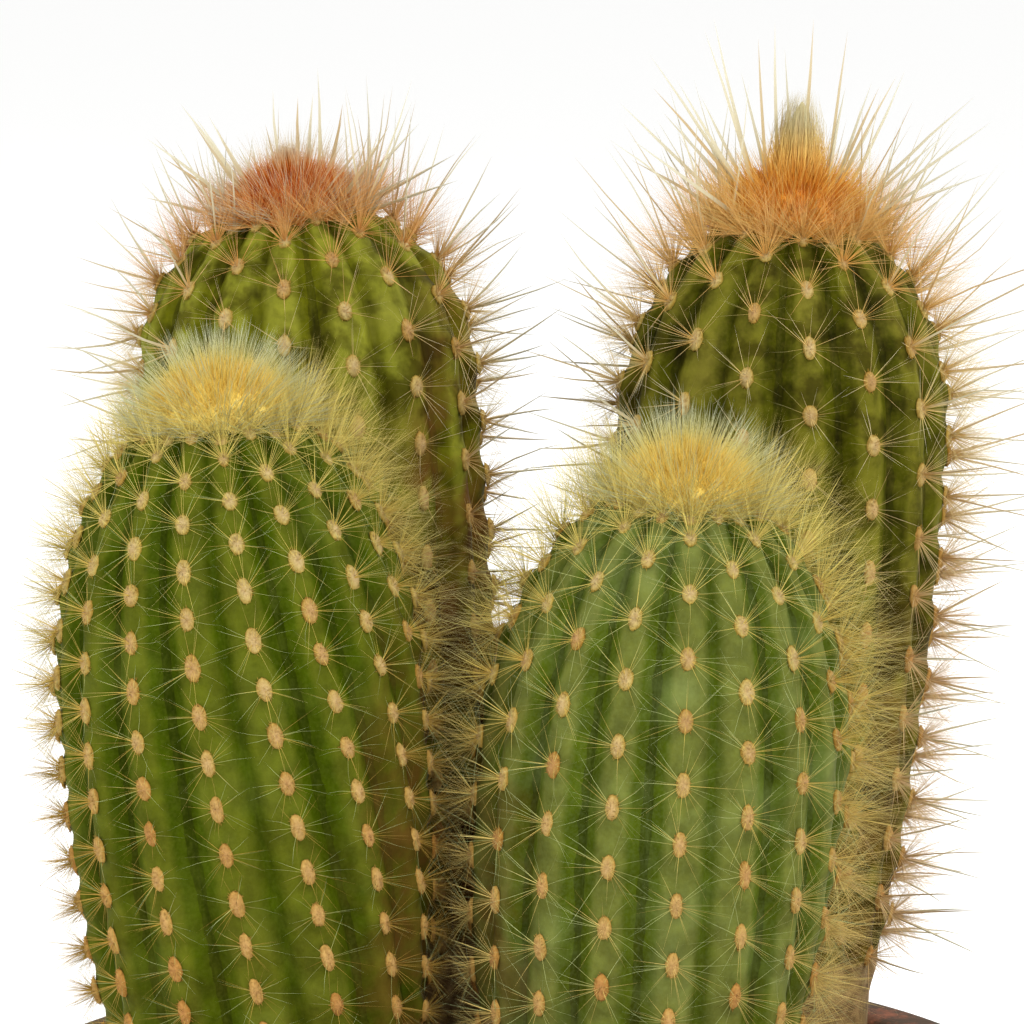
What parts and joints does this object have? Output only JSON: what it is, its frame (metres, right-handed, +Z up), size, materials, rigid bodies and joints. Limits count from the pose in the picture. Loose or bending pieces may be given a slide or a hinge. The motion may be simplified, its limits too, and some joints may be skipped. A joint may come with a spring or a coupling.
{
  "type": "potted cactus",
  "caption": "Cluster of upright ribbed columnar cacti with spines and woolly crowns, growing in soil in a round tapered clay pot.",
  "frame": {"origin": "centre of the pot's foot, on the surface that the pot stands on", "axes": "+Z up; -Y is the front, where the two shorter plants stand; +X to the right seen from the front"},
  "size_m": [0.2, 0.2, 0.3571],
  "materials": {
    "terracotta": "matt unglazed fired clay",
    "soil": "crumbly dark potting mix of bark and peat",
    "skin": "satin waxy green skin",
    "gold_wool": "soft golden wool and bristles",
    "rust_wool": "soft orange-brown wool with pale bristles"
  },
  "bodies": {
    "root": {"pot": "terracotta", "soil": "soil", "stem_front_left": "skin", "crown_front_left": "gold_wool", "stem_front_right": "skin", "crown_front_right": "gold_wool", "stem_back_left": "skin", "crown_back_left": "rust_wool", "stem_back_right": "skin", "crown_back_right": "rust_wool"}
  },
  "joints": []
}
